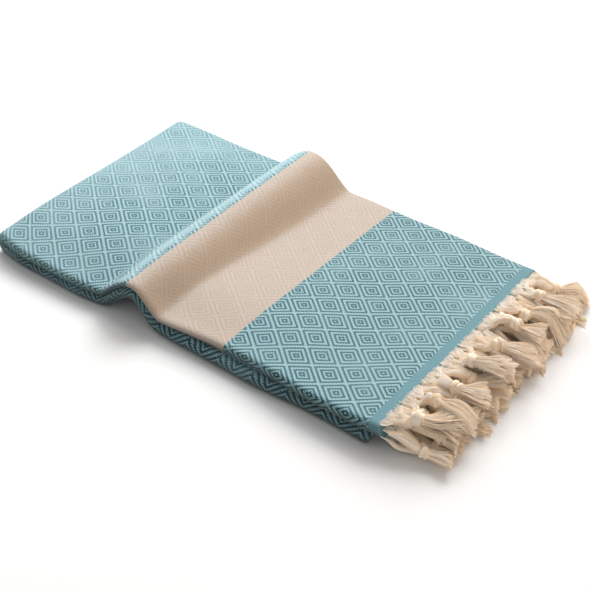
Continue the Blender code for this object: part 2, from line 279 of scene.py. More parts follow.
class Shader:  # a material's node tree and the one method that adds its nodes
    def __init__(self, name):
        self.material = bpy.data.materials.new(name)
        self.material.use_nodes = True
        self.nodes = self.material.node_tree.nodes
        self.links = self.material.node_tree.links
        self.surface = self.nodes["Principled BSDF"]

    def add(self, kind, settings={}, sockets={}, output=0):
        node = self.nodes.new("ShaderNode" + kind)
        for key, value in settings.items():
            setattr(node, key, value)
        for key, value in sockets.items():
            self.feed(node.inputs[key], value)
        return Signal(self, node.outputs[output])

    def feed(self, socket, value):
        if isinstance(value, Signal):
            self.links.new(value.socket, socket)
        else:
            socket.default_value = value

    def split(self, vector):
        first = self.add("SeparateXYZ", {}, {0: vector})
        return [Signal(self, socket) for socket in first.socket.node.outputs]

    def ramp(self, value, start, end):  # 0 at start, 1 at end, eased
        return self.add("MapRange", {"interpolation_type": "SMOOTHSTEP"},
                        {0: value, 1: start, 2: end, 3: 0.0, 4: 1.0})

    def mixColours(self, factor, first, second):
        return self.add("Mix", {"data_type": "RGBA"}, {0: factor, 6: first, 7: second}, output=2)

    def noise(self, place, scale, detail):
        return self.add("TexNoise", {}, {"Scale": scale, "Detail": detail, "Vector": place})

    def finish(self, colour, relief, values):  # the surface of a fabric
        bump = self.add("Bump", {}, {"Strength": values["bumpStrength"],
                                     "Distance": values["bumpDepth"], "Height": relief})
        self.feed(self.surface.inputs["Base Color"], colour)
        self.feed(self.surface.inputs["Normal"], bump)
        self.setValue("Roughness", values["roughness"])
        self.setValue("Specular IOR Level", values["specular"])
        self.setValue("Sheen Weight", values["sheen"])
        self.setValue("Sheen Roughness", values["sheenRoughness"])

    def setValue(self, name, value):
        self.surface.inputs[name].default_value = value


cloth = {
    "turnSteps": 7,
    "acrossPaces": ((0.000, 0.0030), (0.040, 0.0060), (0.070, 0.0110), (0.250, 0.0110)),
    "alongPaces": ((0.000, 0.0090), (0.110, 0.0080), (0.140, 0.0038), (0.225, 0.0038),
                   (0.260, 0.0080), (0.330, 0.0120), (0.450, 0.0120)),
    "edgeMargin": 0.0008,  # no line nearer to an edge than this
    "leastPace": 0.0004,
}

weave = {
    "diamondWide": 0.0255,
    "diamondLong": 0.0325,
    "stepsInDiamond": 40,
    "firstDiamond": 0.0123,  # from the hem to the middle of the first row
    "firstAcross": 0.1285,  # from a selvedge to the middle of a column
    "rings": ((0.07, 0.26), (0.36, 0.56), (0.71, 0.91)),  # dark rings, from the middle outwards
    "bandStart": 0.147,
    "bandEnd": 0.252,
    "hemBand": 0.009,
    "light": (0.330, 0.500, 0.540, 1),
    "dark": (0.045, 0.150, 0.172, 1),
    "frontShadeLight": (0.320, 0.535, 0.565, 1),  # painted shade: faces turned to the front get darker, crisper rings, while the top's paler rings stand in for backlit sheen
    "frontShadeDark": (0.006, 0.055, 0.062, 1),
    "crestSheenLight": (0.430, 0.620, 0.660, 1),  # painted sheen: paler threads on the left face along the crest of the hump
    "hem": (0.140, 0.285, 0.325, 1),
    "sand": (0.563, 0.475, 0.400, 1),
    "sandSlopeShade": (0.540, 0.410, 0.300, 1),  # painted shade: warmer, darker sand on the hump's right-facing slope, the near one
    "sandDark": (0.400, 0.310, 0.240, 1),
    "sandContrast": 0.32,
    "crestSheenContrast": 0.4,  # what is left of the rings' contrast under the painted sheen along the crest
    "crossing": 0.15,  # how much lighter every other thread of a dark ring is
    "tooth": 0.05,  # how far the rings' outer edges step from thread to thread
    "narrowed": 1.2,  # how many teeth narrower the light lines are in the front rolls, as painted shade
    "ragged": 0.01,
    "uneven": 0.12,  # how far single threads differ in shade
    "faded": 1.1,  # how far the rings fade in patches, and as painted sheen towards the far left corner
    "fadedFrom": 0.47,
    "cornerSheenFade": 0.55,
    "rolls": 0.25,  # painted shade: how much darker the rolls are in front, underneath and in the lower half
    "underside": 0.70,
    "lowerHalf": 0.28,
    "fibreShades": (0.90, 0.2),  # the least brightness, and what the fibres add
    "cloudScale": 28.0,
    "fibreScale": 900.0,
    "ringRelief": 0.5,
    "fibreRelief": 0.25,
    "hemRelief": 0.4,
    "bumpStrength": 0.5,
    "bumpDepth": 0.0004,
    "roughness": 0.85,
    "specular": 0.2,
    "sheen": 0.25,
    "sheenRoughness": 0.5,
    # Where each painted shade or sheen starts and where it is full: in parts of the normal, or at
    # places in metres.
    "frontShadeMaskFacing": (-0.08, -0.62),
    "frontFacing": (-0.30, -0.90),
    "underFacing": (0.45, -0.35),
    "crestSheenFacing": (-0.08, -0.50),
    "crestSheenHeights": (0.028, 0.037),
    "slopeShadeFacing": (0.15, 0.60),
    "cornerSheenPlaces": (-0.05, -0.30),
    "cornerSheenTurn": 0.6,
}


def stepsFrom(start, end, paces):  # distances from start to end in paces that a table sets
    places = [row[0] for row in paces]
    sizes = [row[1] for row in paces]
    found = [start]
    while found[-1] < end:
        found.append(found[-1] + float(np.interp(found[-1], places, sizes)))
    found = np.array(found)
    return list(start + (found - start) * (end - start) / (found[-1] - start))


def creaseDistances(ownArc, far, farArc, paces):  # close in both bends, wider on the flat
    near = [ownArc * step / cloth["turnSteps"] for step in range(cloth["turnSteps"])]
    farther = [far - farArc * step / cloth["turnSteps"] for step in range(cloth["turnSteps"])]
    return near + stepsFrom(ownArc, far - farArc, paces) + farther[::-1]


def bothSides(distances, crease, low, high):  # lines on either side of a crease
    lines = [crease - d for d in distances] + [crease + d for d in distances]
    return [line for line in lines if low <= line <= high]


def tidied(lines, least):  # sorted, without those that nearly touch the one before
    lines = sorted(lines)
    kept = [lines[0]]
    for line in lines[1:]:
        if line - kept[-1] > least:
            kept.append(line)
    return kept


def widthLines():
    distances = creaseDistances(halfTurn(4), frontReach, halfTurn(2), cloth["acrossPaces"])
    margin = cloth["edgeMargin"]
    lines = bothSides(distances, middle - frontReach, margin, middle)
    lines += bothSides(distances, middle + frontReach, middle, towel["width"] - margin)
    return tidied(lines + [0, towel["width"]], cloth["leastPace"])


def lengthLines():
    distances = creaseDistances(halfTurn(8), leftReach, halfTurn(1), cloth["alongPaces"])
    margin = cloth["edgeMargin"]
    lines = bothSides(distances, halfLength - leftReach, margin, halfLength)
    lines += bothSides(distances, halfLength + leftReach, halfLength, towel["length"] - margin)
    return tidied(lines + [0, towel["length"]], cloth["leastPace"])


def makeCloth():
    acrossLines = widthLines()
    alongLines = lengthLines()
    mesh = bmesh.new()
    columns = len(acrossLines) - 1
    rows = len(alongLines) - 1
    bmesh.ops.create_grid(mesh, x_segments=columns, y_segments=rows, size=1)
    for vert in mesh.verts:
        column = round((vert.co.x + 1) / 2 * columns)
        row = round((vert.co.y + 1) / 2 * rows)
        vert.co = (acrossLines[column], alongLines[row], 0)
    top = bmesh.ops.extrude_face_region(mesh, geom=mesh.faces[:])
    for item in top["geom"]:
        if isinstance(item, bmesh.types.BMVert):
            item.co.z = towel["thick"]
    bmesh.ops.recalc_face_normals(mesh, faces=mesh.faces[:])
    flatMap = mesh.loops.layers.uv.new("flatCloth")
    for face in mesh.faces:
        for loop in face.loops:
            loop[flatMap].uv = (loop.vert.co.x / towel["width"], loop.vert.co.y / towel["length"])
    points = np.array([vert.co[:] for vert in mesh.verts])
    for vert, place in zip(mesh.verts, lay(points) + shift):
        vert.co = place
    bmesh.ops.reverse_faces(mesh, faces=mesh.faces[:])  # laying swaps across and along
    piece = addPiece("cloth", mesh)
    print("cloth of", columns, "by", rows, "cells")
    return piece


sharpAngle = 60  # degrees from which an edge is shaded sharp


def addPiece(name, mesh):
    data = bpy.data.meshes.new(name)
    mesh.to_mesh(data)
    mesh.free()
    data.shade_smooth()
    data.set_sharp_from_angle(angle=math.radians(sharpAngle))
    piece = bpy.data.objects.new(name + "Visual", data)
    bpy.context.collection.objects.link(piece)
    return piece


def makeWeave():
    shader = Shader("weave")
    flat = shader.split(shader.add("UVMap", {"uv_map": "flatCloth"}))
    across = flat[0] * towel["width"]
    along = flat[1] * towel["length"]
    fromHem = halfLength - abs(along - halfLength)
    place = shader.add("TexCoord", output=3)
    spot = shader.split(place)
    normal = shader.split(shader.add("NewGeometry", output=1))
    # Painted shade: faces turned to the front get darker, crisper ring colours and narrower light
    # lines.
    frontShadeMask = shader.ramp(normal[1], *weave["frontShadeMaskFacing"])
    # Painted shade masks: faces turned to the front, and faces turned down.
    front = shader.ramp(normal[1], *weave["frontFacing"])
    under = shader.ramp(normal[2], *weave["underFacing"])
    # Painted sheen: the left face of the hump near its crest is paler, with fainter rings.
    crestSheen = shader.ramp(normal[0], *weave["crestSheenFacing"])
    crestSheen = crestSheen * shader.ramp(spot[2], *weave["crestSheenHeights"])
    # Painted shade: sand on slopes facing right, away from the key lamp, is warmer and darker.
    slopeShade = shader.ramp(normal[0], *weave["slopeShadeFacing"])
    # Painted sheen: the rings fade towards the far left corner.
    corner = spot[0] - weave["cornerSheenTurn"] * spot[1]
    corner = shader.ramp(corner, *weave["cornerSheenPlaces"])

    wideStep = weave["diamondWide"] / weave["stepsInDiamond"]
    longStep = weave["diamondLong"] / weave["stepsInDiamond"]
    acrossSteps = (across - weave["firstAcross"]) / wideStep
    alongSteps = (fromHem - weave["firstDiamond"]) / longStep
    acrossStep = acrossSteps.calc("FLOOR", acrossSteps) + 0.5
    alongStep = alongSteps.calc("FLOOR", alongSteps) + 0.5

    # Distance from the nearest diamond's middle, 0 there and 1 on the lattice of light lines.
    size = weave["stepsInDiamond"]
    acrossNear = abs(acrossStep.calc("WRAP", acrossStep, size / 2, -size / 2)) * (2 / size)
    alongNear = abs(alongStep.calc("WRAP", alongStep, size / 2, -size / 2)) * (2 / size)
    spread = acrossNear + alongNear
    distance = spread.calc("MINIMUM", spread, 2 - spread)
    cell = shader.add("CombineXYZ", {}, {0: acrossStep, 1: alongStep})
    single = shader.add("TexWhiteNoise", {"noise_dimensions": "2D"}, {"Vector": cell}) - 0.5
    crossing = acrossStep.calc("PINGPONG", acrossStep - 0.5, 1)
    distance = distance + weave["ragged"] * single
    # Painted shade: on faces turned to the front the teeth grow and the light lines narrow.
    teeth = (1 + frontShadeMask) * crossing - weave["narrowed"] * frontShadeMask
    stepped = distance + weave["tooth"] * teeth
    dark = 0
    for low, high in weave["rings"]:
        dark = dark + (distance > low) * (stepped < high)

    # The colours, worn in patches and faded by painted sheen towards the far left corner, with
    # every other thread paler in the dark rings.
    cloud = shader.noise(place, weave["cloudScale"], 3.0)
    fibre = shader.noise(place, weave["fibreScale"], 2.0)
    wornAndSheen = 1 + weave["faded"] * (cloud - weave["fadedFrom"]) - weave["cornerSheenFade"] * corner
    shown = dark * (1 - weave["crossing"] * crossing) * wornAndSheen + weave["uneven"] * single
    # Painted shade: on faces turned to the front the ring colours are darker and crisper.
    light = shader.mixColours(frontShadeMask, weave["light"], weave["frontShadeLight"])
    light = shader.mixColours(crestSheen, light, weave["crestSheenLight"])
    darkest = shader.mixColours(frontShadeMask, weave["dark"], weave["frontShadeDark"])
    contrast = 1 - (1 - weave["crestSheenContrast"]) * crestSheen
    blue = shader.mixColours(shown * contrast, light, darkest)
    sand = shader.mixColours(slopeShade, weave["sand"], weave["sandSlopeShade"])
    sand = shader.mixColours(shown * weave["sandContrast"], sand, weave["sandDark"])
    inBand = (fromHem > weave["bandStart"]) * (fromHem < weave["bandEnd"])
    inHem = fromHem < weave["hemBand"]
    colour = shader.mixColours(inBand, blue, sand)
    colour = shader.mixColours(inHem, colour, weave["hem"])
    # Painted shade: darker on faces turned to the front or down, and in the lower half of the
    # stack.
    shaded = (1 - weave["rolls"] * front) * (1 - weave["underside"] * under)
    shaded = shaded * (1 - weave["lowerHalf"] * (fromHem > halfLength - leftReach))
    leastValue, fibreValue = weave["fibreShades"]
    value = (leastValue + fibreValue * fibre) * shaded
    fibresAndShade = shader.add("HueSaturation", {}, {"Value": value, "Color": colour})

    # The threads stand up as round ribs: across in the dark rings, along elsewhere.
    acrossRib = acrossSteps.calc("PINGPONG", acrossSteps * 2, 0.5)
    alongRib = alongSteps.calc("PINGPONG", alongSteps * 2, 0.5)
    relief = acrossRib * dark + alongRib * (1 - dark)
    relief = relief + weave["ringRelief"] * dark + weave["fibreRelief"] * fibre
    relief = relief * (1 - (1 - weave["hemRelief"]) * inHem)
    shader.finish(fibresAndShade, relief, weave)
    return shader.material


fringe = {
    "headingGap": 0.0003,
    "headingDepth": 0.004,
    "tasselPitch": 0.0277,
    "rootHalfWidth": 0.0036,
    "rootClear": 0.0042,
    "laneOffsets": (0.0, 0.25, 0.0, 0.25),
    "endOffsets": (0.0, 0.5),
    "sections": (  # along, half width, half height; the knot is between the fourth and the fifth
        (0.0045, 0.0040, 0.0006),
        (0.0085, 0.0033, 0.0017),
        (0.0140, 0.0031, 0.0025),
        (0.0165, 0.0054, 0.0044),
        (0.0222, 0.0054, 0.0044),
        (0.0248, 0.0034, 0.0026),
        (0.0315, 0.0060, 0.0026),
        (0.0390, 0.0074, 0.0020),
        (0.0465, 0.0082, 0.0009),
    ),
    "layers": (  # bulk, knot shift, swing; from the lowest pair of plies to the highest
        (0.32, 0.009, 0.08),
        (0.36, 0.001, 0.10),
        (0.52, 0.009, 0.28),
        (0.95, 0.000, 0.45),
    ),
    "shiftedSection": 2,  # the one before the knot, which a knot's shift makes longer
    "shortenedFrom": 7,  # the sections that take half of the shift back
    "leastWidth": 0.6,  # of a tassel with no bulk
    "turnPower": 0.7,
    "lean": 0.34,
    "frontLean": 0.40,
    "frontLeanReach": 0.060,
    "cordSwing": 1.0,
    "knotJitter": 0.005,
    "stretch": (0.92, 1.10),
    "clearance": 0.0003,
    "steepestDrop": 1.3,
    "seed": 13,
    "pileCorner": (0.395, -0.040),
    "pileSize": (0.110, 0.340),
    "pileCell": 0.001,
}


def tasselLines(endOffset):  # where an end's tassels start, clear of the bends
    first = halfTurn(4) + fringe["rootClear"]
    besideBack = frontReach - halfTurn(2) - fringe["rootClear"]
    besideSelvedge = middle - frontReach - fringe["rootClear"]
    quarters = (
        (middle - frontReach, -1, besideSelvedge),
        (middle - frontReach, 1, besideBack),
        (middle + frontReach, -1, besideBack),
        (middle + frontReach, 1, besideSelvedge),
    )
    lines = []
    for (crease, direction, last), laneOffset in zip(quarters, fringe["laneOffsets"]):
        distance = first + (laneOffset + endOffset) % 1 * fringe["tasselPitch"]
        while distance <= last:
            lines.append(crease + direction * distance)
            distance += fringe["tasselPitch"]
    return sorted(lines)


class Pile:  # how high the tassels laid so far reach, on a grid over the ground
    def __init__(self):
        self.low = np.array(fringe["pileCorner"])
        self.top = np.zeros([round(side / fringe["pileCell"]) for side in fringe["pileSize"]])

    def cells(self, points):
        index = np.floor((points - self.low) / fringe["pileCell"]).astype(int)
        index[:, 0] = np.clip(index[:, 0], 0, self.top.shape[0] - 1)
        index[:, 1] = np.clip(index[:, 1], 0, self.top.shape[1] - 1)
        return index[:, 0], index[:, 1]

    def under(self, points):
        return self.top[self.cells(points)].max()

    def cover(self, points, height):
        rows, columns = self.cells(points)
        self.top[rows, columns] = np.maximum(self.top[rows, columns], height)


def footprint(centre, side, halfWidth):  # a line of points under a tassel, across it
    reach = halfWidth + fringe["clearance"]
    shares = np.linspace(-1, 1, 2 * int(reach / fringe["pileCell"]) + 3)
    return centre + np.outer(shares * reach, side)


def tasselPlan(root, layer, dice):  # centres, sideways directions and half sizes of its sections
    bulk, knotShift, swing = fringe["layers"][layer]
    stretch = dice.uniform(*fringe["stretch"])
    knotShift = knotShift + dice.uniform(-fringe["knotJitter"], fringe["knotJitter"])
    cordYaw = dice.uniform(-fringe["cordSwing"], fringe["cordSwing"]) * swing
    besideFront = max(0, 1 - root[1] / fringe["frontLeanReach"])
    tailYaw = fringe["lean"] + fringe["frontLean"] * besideFront + dice.uniform(-swing, swing)
    centres = [np.array(root[:2])]
    halfSizes = [np.array((fringe["rootHalfWidth"], towel["thick"] / 2))]
    sides = [np.array((0.0, -1.0))]
    reach = fringe["sections"][-1][0]
    walked = 0
    for index, (along, halfWidth, halfHeight) in enumerate(fringe["sections"]):
        share = along / reach
        yaw = cordYaw * (1 - share) + tailYaw * share ** fringe["turnPower"]
        pace = (along - walked) * stretch
        if index == fringe["shiftedSection"]:
            pace += knotShift
        elif index >= fringe["shortenedFrom"]:
            pace -= knotShift / 2
        centres.append(centres[-1] + np.array((math.cos(yaw), math.sin(yaw))) * pace)
        sides.append(np.array((math.sin(yaw), -math.cos(yaw))))
        squash = bulk if index > 0 else 1
        slimness = fringe["leastWidth"] + (1 - fringe["leastWidth"]) * bulk
        halfSizes.append(np.array((halfWidth * slimness, halfHeight * squash)))
        walked = along
    return centres, sides, halfSizes


def stretches(centres, sides, halfSizes):  # close steps along a tassel, for the pile
    for index in range(len(centres) - 1):
        run = np.linalg.norm(centres[index + 1] - centres[index])
        for share in np.linspace(0, 1, 2 + math.ceil(run / (fringe["pileCell"] / 2))):
            centre = centres[index] * (1 - share) + centres[index + 1] * share
            side = sides[index] * (1 - share) + sides[index + 1] * share
            half = halfSizes[index] * (1 - share) + halfSizes[index + 1] * share
            yield index, share, centre, side, half


def restHeights(rootHeight, centres, sides, halfSizes, pile):  # down to the pile or the ground
    heights = [rootHeight]
    for index in range(1, len(centres)):
        run = np.linalg.norm(centres[index] - centres[index - 1])
        heights.append(max(halfSizes[index][1], heights[-1] - fringe["steepestDrop"] * run))
    for index, share, centre, side, half in stretches(centres, sides, halfSizes):
        if index == 0:
            continue
        top = pile.under(footprint(centre, side, half[0]))
        need = top + half[1] + (fringe["clearance"] if top > 0 else 0)
        ends = sorted(((heights[index], index, 1 - share), (heights[index + 1], index + 1, share)))
        for height, place, weight in ends:
            missing = need - heights[index] * (1 - share) - heights[index + 1] * share
            if missing > 0 and weight > 0 and need > height:
                heights[place] = min(height + missing / weight, need)
    return heights


def addToPile(heights, centres, sides, halfSizes, pile):
    for index, share, centre, side, half in stretches(centres, sides, halfSizes):
        height = heights[index] * (1 - share) + heights[index + 1] * share
        pile.cover(footprint(centre, side, half[0]), height + half[1])


def layTassels():  # all tassels of both ends, lowest root first, as the part's source lays them
    far = fringe["headingGap"] + fringe["headingDepth"]
    ends = ((-far, 0), (towel["length"] + far, 1))
    tassels = []
    for edge, end in ends:
        for line in tasselLines(fringe["endOffsets"][end]):
            plyHeight = foldUp(np.array(line), np.array(edge), towel["thick"] / 2)[2]
            root = lay(np.array([[line, edge, towel["thick"] / 2]]))[0]
            tassels.append((round(float(plyHeight), 5), root[1], end, line, root))
    tassels.sort(key=lambda entry: entry[:2])
    plies = sorted({entry[0] for entry in tassels})
    dice = random.Random(fringe["seed"])
    pile = Pile()
    laid = []
    for plyHeight, across, end, line, root in tassels:
        layer = plies.index(plyHeight) // 2
        centres, sides, halfSizes = tasselPlan(root, layer, dice)
        heights = restHeights(root[2], centres, sides, halfSizes, pile)
        addToPile(heights, centres, sides, halfSizes, pile)
        path = np.column_stack((np.array(centres), np.array(heights)))
        laid.append({"end": end, "line": line, "layer": layer, "path": path,
                     "sides": np.array(sides), "halfSizes": np.array(halfSizes)})
    print("tassels laid:", len(laid))
    return laid


yarn = {
    "seed": 5,
    "hemYarns": (12, 14, 34, 60),  # of a tassel; rows of four go from the lowest layer up
    "hemRadius": 0.00030,
    "hemJitter": 0.0006,
    "hemRise": 0.0007,
    "hemOverlap": 0.0024,  # how far the highest layer's reach on to the cloth at most
    "hemGap": 0.0002,  # how far past it the others start
    "hemReach": 0.0030,  # how far they run side by side
    "hemPoints": 7,
    "edgeClear": 0.0006,
    "joinSpots": (2.5, 5.0),  # where they join a bundle, in its points
    "joinBend": 0.6,
    "joinReach": 0.7,
    "bundleRadius": 0.0028,
    "bundleEnd": 4.4,  # in sections of the tassel, as the other spots along it are
    "bundlePoints": 16,
    "bundleStart": 1.3,  # the power by which a bundle bends from the hem to the cord
    "bundleBend": 0.0022,
    "bundleArch": 0.0028,
    "bundleApart": 0.0055,
    "cordSides": 10,
    "cordSizes": ((0, 0.12, 0.35, 1), (0.30, 0.75, 1.0, 1.05)),  # shares of its way, and sizes
    "cordTwist": 55,
    "coreSize": 0.8,  # of a core or a ball with yarns round it
    "strandsInCord": (0, 0, 11, 12),
    "strandSize": 0.28,
    "strandReach": 0.78,
    "wisps": (3, 4, 9, 14),  # loose yarns along each bundle
    "wispStarts": (1, 9),
    "wispLengths": (3, 7),
    "wispPoints": 6,
    "wispTurn": 0.4,
    "wispReach": (0.95, 0.5),  # at its ends, and how much farther out it may bow
    "wispSize": 0.8,
    "layerSizes": (0.70, 0.74, 0.92, 1.04),
    "knotEnds": (4, 5),  # the spots between which a knot lies
    "knotRadius": 0.0057,
    "knotTilt": 0.45,
    "ballPoints": 9,
    "ballEnd": 0.02,  # the least square of a ball's relative radius
    "windings": (0, 0, 10, 12),  # yarns in the bundle wound round a knot
    "windingTurns": (1.7, 2.2),
    "windingSize": 0.43,  # its radius, of the knot's
    "windingLength": 1.25,
    "windingPoints": 28,
    "windingSink": 8,  # the power by which its ends go in
    "windingTwist": 3,
    "windingYarn": 0.30,
    "windingReach": 0.75,
    "tailYarns": (50, 60, 200, 260),
    "tailLocks": (20, 24, 80, 110),
    "lockSpread": 0.00045,
    "yarnSides": 3,
    "tailRadius": 0.00029,
    "tailTaper": (1.0, 0.7),
    "tailPoints": 8,
    "tailStart": 5.0,
    "looseStart": 5.4,  # from here on the yarns part
    "tipPast": 0.2,
    "tipSpread": 1.3,
    "tipPower": 1.6,
    "tipJitter": 0.15,
    "tailSizes": (0.8, 1.25),
    "tailWidths": (1.10, 1.10, 1.25, 1.50),
    "tailLofts": (0.0002, 0.0003, 0.0016, 0.0032),
    "tailBend": 0.0060,
    "tailCurl": 0.0019,
    "curlRates": (0.8, 1.5),
    "highFrom": 2,  # the layer from which tails count as high
    "groundClear": 1.1,  # the least height of a yarn's middle, in its own radii
}

cream = {  # the upper yarns, the lower ones, warmer as painted shade near the ground, and the shaded ones
    "yarns": ((0.95, 0.885, 0.800, 1), (1.0, 0.89, 0.73, 1), (0.90, 0.68, 0.46, 1)),
    "hemYarns": ((0.99, 0.965, 0.915, 1), (0.97, 0.87, 0.72, 1), (0.90, 0.76, 0.60, 1)),
    "fullHeight": 0.024,
    "strandScale": 700.0,
    "cloudScale": 60.0,
    "strandShade": 0.2,  # how much each adds to the shading
    "cloudShade": 0.4,
    "singleShade": 1.1,
    "unshaded": 0.42,
    "bumpStrength": 0.4,
    "bumpDepth": 0.0002,
    "roughness": 0.9,
    "specular": 0.0,
    "sheen": 0.15,
    "sheenRoughness": 0.5,
}


def atSpots(rows, spots):  # rows of a table at places between them
    base = np.arange(len(rows))
    columns = [np.interp(spots, base, rows[:, axis]) for axis in range(rows.shape[1])]
    return np.stack(columns, axis=-1)


def softened(points, rounds):  # rounds off the corners of one path or of many
    for _ in range(rounds):
        inner = 0.25 * points[..., :-2, :] + 0.5 * points[..., 1:-1, :] + 0.25 * points[..., 2:, :]
        points = np.concatenate((points[..., :1, :], inner, points[..., -1:, :]), axis=-2)
    return points


def hemPoints(tassel, offsets, past, heights):  # points past the hem, beside the tassel's line
    edge = 0 if tassel["end"] == 0 else towel["length"]
    outwards = -1 if tassel["end"] == 0 else 1
    clear = yarn["edgeClear"]
    lines = np.clip(tassel["line"] + offsets, clear, towel["width"] - clear)
    count = np.ones(len(lines))
    return lay(np.column_stack((lines, count * (edge + outwards * past), count * heights)))


def profileCurve(name, radius, sides):  # the round section of a yarn
    data = bpy.data.curves.new(name, "CURVE")
    data.dimensions = "2D"
    spline = data.splines.new("POLY")
    spline.points.add(sides - 1)
    for index, point in enumerate(spline.points):
        angle = 2 * math.pi * index / sides
        point.co = (radius * math.cos(angle), radius * math.sin(angle), 0, 1)
    spline.use_cyclic_u = True
    item = bpy.data.objects.new(name, data)
    bpy.context.collection.objects.link(item)
    return item


def sweptPiece(name, strands, profile):  # strands: points and radii, swept with a profile
    data = bpy.data.curves.new(name, "CURVE")
    data.dimensions = "3D"
    data.bevel_mode = "OBJECT"
    data.bevel_object = profile
    data.use_fill_caps = True
    data.twist_mode = "MINIMUM"
    for points, radii in strands:
        count = len(points)
        spline = data.splines.new("POLY")
        spline.points.add(count - 1)
        places = np.column_stack((points + shift, np.ones(count)))
        spline.points.foreach_set("co", places.ravel())
        spline.points.foreach_set("radius", np.broadcast_to(radii, count).copy())
    holder = bpy.data.objects.new(name + "Curve", data)
    bpy.context.collection.objects.link(holder)
    bpy.context.view_layer.update()
    shown = bpy.data.meshes.new_from_object(holder.evaluated_get(
        bpy.context.evaluated_depsgraph_get()))
    bpy.data.objects.remove(holder)
    mesh = bmesh.new()
    mesh.from_mesh(shown)
    bmesh.ops.recalc_face_normals(mesh, faces=mesh.faces[:])
    bpy.data.meshes.remove(shown)
    return addPiece(name, mesh)


def bundlePath(tassel, offset, bend):  # a thick bundle of yarns, from the hem into the knot
    spots = np.linspace(0, yarn["bundleEnd"], yarn["bundlePoints"])
    share = spots / spots[-1]
    middleLine = atSpots(tassel["path"], spots)
    start = hemPoints(tassel, np.array([offset]), yarn["hemReach"], towel["thick"] / 2)[0]
    points = middleLine + np.outer((1 - share) ** yarn["bundleStart"], start - middleLine[0])
    sideways = atSpots(tassel["sides"], spots)
    points[:, :2] += sideways * (bend * np.sin(2 * math.pi * share))[:, None]
    points[:, 2] += yarn["bundleArch"] * np.sin(math.pi * share)
    return softened(points, 2)


def crossways(points):  # the sideways and the upward direction at each point of a path
    forward = np.gradient(points, axis=0)
    forward = forward / np.linalg.norm(forward, axis=1)[:, None]
    side = np.cross(forward, (0, 0, 1))
    side = side / np.linalg.norm(side, axis=1)[:, None]
    return side, np.cross(side, forward)


def cordStrands(tassel, points):  # a core, and yarns twisted round it
    size = yarn["layerSizes"][tassel["layer"]]
    share = np.linspace(0, 1, len(points))
    radii = size * np.interp(share, *yarn["cordSizes"])
    walked = np.concatenate(([0], np.cumsum(np.linalg.norm(np.diff(points, axis=0), axis=1))))
    count = yarn["strandsInCord"][tassel["layer"]]
    core = (points, radii * (yarn["coreSize"] if count else 1))
    side, up = crossways(points)
    reach = (yarn["strandReach"] * yarn["bundleRadius"] * radii)[:, None]
    strandRadii = yarn["strandSize"] * yarn["bundleRadius"] / yarn["tailRadius"] * radii
    outer = []
    for index in range(count):
        angle = (2 * math.pi * index / count + yarn["cordTwist"] * walked)[:, None]
        place = points + (np.cos(angle) * side + np.sin(angle) * up) * reach
        outer.append((place, strandRadii))
    return core, outer


def hemStrands(tassel, bundles, dice):  # yarns that leave the hem side by side for the bundles
    highest = tassel["layer"] == len(fringe["layers"]) - 1
    count = yarn["hemYarns"][tassel["layer"]] // len(bundles)
    width = fringe["tasselPitch"] / len(bundles)
    strands = []
    for offset, points in bundles:
        offsets = offset + width * ((np.arange(count) + 0.5) / count - 0.5)
        offsets = offsets + dice.uniform(-1, 1, count) * yarn["hemJitter"]
        past = -yarn["hemOverlap"] * dice.random(count) ** 2 if highest else yarn["hemGap"]
        start = hemPoints(tassel, offsets, past, towel["thick"] / 2)
        start[:, 2] += yarn["hemRise"] * highest
        drift = dice.uniform(-1, 1, count) * yarn["hemJitter"]
        out = hemPoints(tassel, offsets + drift, yarn["hemReach"], towel["thick"] / 2)
        out[:, 2] += dice.uniform(-1, 1, count) * yarn["hemJitter"]
        joins = atSpots(points, dice.uniform(*yarn["joinSpots"], count))
        angle = dice.uniform(0, 2 * math.pi, count)
        reach = yarn["joinReach"] * yarn["bundleRadius"] * np.sqrt(dice.random(count))
        joins[:, 1] += np.cos(angle) * reach
        joins[:, 2] += np.sin(angle) * reach
        bend = (1 - yarn["joinBend"]) * out + yarn["joinBend"] * joins
        paths = np.stack((start, out, bend, joins))
        fine = atSpots(paths.reshape(len(paths), -1),
                       np.linspace(0, len(paths) - 1, yarn["hemPoints"]))
        paths = np.moveaxis(fine.reshape(yarn["hemPoints"], count, 3), 0, 1)
        strands += [(path, 1.0) for path in softened(paths, 2)]
    return strands


def wispStrands(tassel, points, dice):  # yarns that have come loose beside a bundle
    count = yarn["wisps"][tassel["layer"]]
    size = yarn["layerSizes"][tassel["layer"]] * yarn["bundleRadius"]
    share = np.linspace(0, 1, yarn["wispPoints"])
    spots = dice.uniform(*yarn["wispStarts"], (count, 1))
    spots = spots + dice.uniform(*yarn["wispLengths"], (count, 1)) * share
    places = atSpots(points, spots)
    turn = dice.uniform(0, 2 * math.pi, (count, 1))
    turn = turn + dice.uniform(-yarn["wispTurn"], yarn["wispTurn"], (count, 1)) * share
    least, bow = yarn["wispReach"]
    reach = size * (least + dice.uniform(0, bow, (count, 1)) * np.sin(math.pi * share))
    places[..., 1] += np.cos(turn) * reach
    places[..., 2] += np.sin(turn) * reach
    return [(place, yarn["wispSize"]) for place in places]


